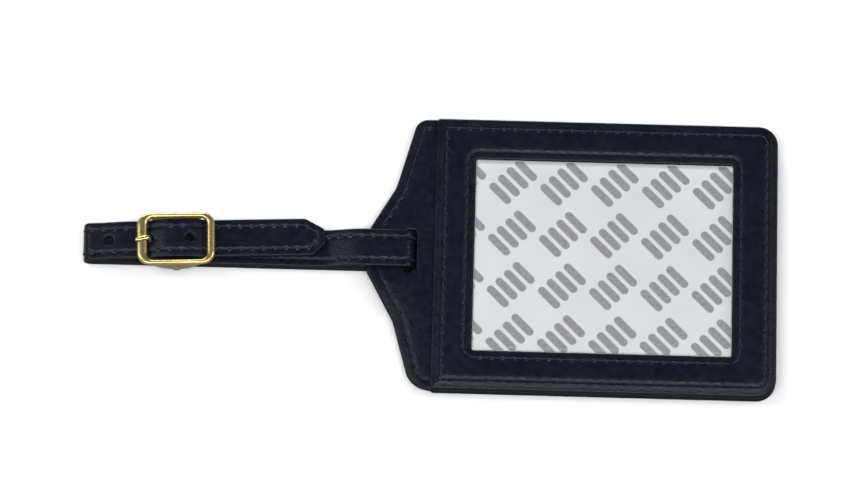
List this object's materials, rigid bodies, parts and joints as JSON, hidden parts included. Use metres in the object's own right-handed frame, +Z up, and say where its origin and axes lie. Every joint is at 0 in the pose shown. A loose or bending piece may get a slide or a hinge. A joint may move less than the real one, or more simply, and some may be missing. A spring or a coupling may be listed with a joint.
{
  "type": "luggage tag",
  "caption": "Flat sewn leather luggage tag with a framed front window, a rear card pocket and a buckled strap looped through a slot in its tapered neck.",
  "frame": {"origin": "under the middle of the whole object, on the surface it lies on", "axes": "+Z up out of the front window; +X from the strap's far fold to the body's free end; +Y across the tag towards the card pocket's open edge"},
  "size_m": [0.1984, 0.081, 0.009],
  "materials": {
    "leather": "smooth navy leather, semi-gloss",
    "strap_leather": "smooth navy leather, semi-gloss",
    "strap_lining": "matt navy lining leather",
    "thread": "waxed navy thread",
    "adhesive": "tacky adhesive film",
    "liner": "coated paper with a satin sheen and a grey repeat print",
    "board": "grey board",
    "card": "uncoated card",
    "vinyl": "clear flexible vinyl",
    "brass": "polished, lightly worn"
  },
  "bodies": {
    "tag_body": {"front_frame": "leather", "front_edge_stitching": "thread", "front_window_stitching": "thread", "neck_facing": "leather", "neck_stitching": "thread", "adhesive_sheet": "adhesive", "core_board": "board", "back_panel": "leather", "card_window": "vinyl", "rear_frame": "leather", "rear_window_stitching": "thread", "strap_neck_outer": "strap_leather", "strap_neck_lining": "strap_lining", "strap_neck_stitching": "thread", "strap_flex_upper": "strap_leather", "strap_flex_lower": "strap_leather"},
    "liner": {"release_liner": "liner"},
    "card": {"address_card": "card"},
    "strap_loop": {"strap_loop_outer": "strap_leather", "strap_loop_lining": "strap_lining", "buckle_strand_outer": "strap_leather", "buckle_strand_lining": "strap_lining", "buckle_strand_stitching": "thread", "free_strand_stitching": "thread", "strap_tip_flex": "strap_leather"},
    "strap_tip": {"strap_tip_outer": "strap_leather", "strap_tip_lining": "strap_lining", "strap_tip_stitching": "thread"},
    "buckle": {"buckle_frame": "brass", "buckle_bar": "brass"},
    "tongue": {"buckle_tongue": "brass"}
  },
  "joints": [
    {"name": "strap_bend", "type": "hinge", "parent": "tag_body", "child": "strap_loop", "pos_m": [-0.0248, 0.0008, 0.00255], "axis": [0, 1, 0], "range_deg": [-90, 90], "deforming": ["strap_flex_upper", "strap_flex_lower"]},
    {"name": "tip_lift", "type": "hinge", "parent": "strap_loop", "child": "strap_tip", "pos_m": [-0.05734, 0.00252, 0.00495], "axis": [0.0436, -0.999, 0], "range_deg": [0, 70], "deforming": ["strap_tip_flex"]},
    {"name": "buckle_rock", "type": "hinge", "parent": "strap_loop", "child": "buckle", "pos_m": [-0.0725, 0.0013, 0.0036], "axis": [-0.0436, 0.999, 0], "range_deg": [-2.5, 2.5]},
    {"name": "tongue_lift", "type": "hinge", "parent": "buckle", "child": "tongue", "pos_m": [-0.0725, 0.0013, 0.0036], "axis": [-0.0436, 0.999, 0], "range_deg": [0, 5]},
    {"name": "card_slide", "type": "slide", "parent": "tag_body", "child": "card", "axis": [0, 1, 0], "range_m": [0, 0.06]},
    {"name": "liner_peel", "type": "slide", "parent": "tag_body", "child": "liner", "axis": [0, 0, 1], "range_m": [0, 0.02]}
  ]
}
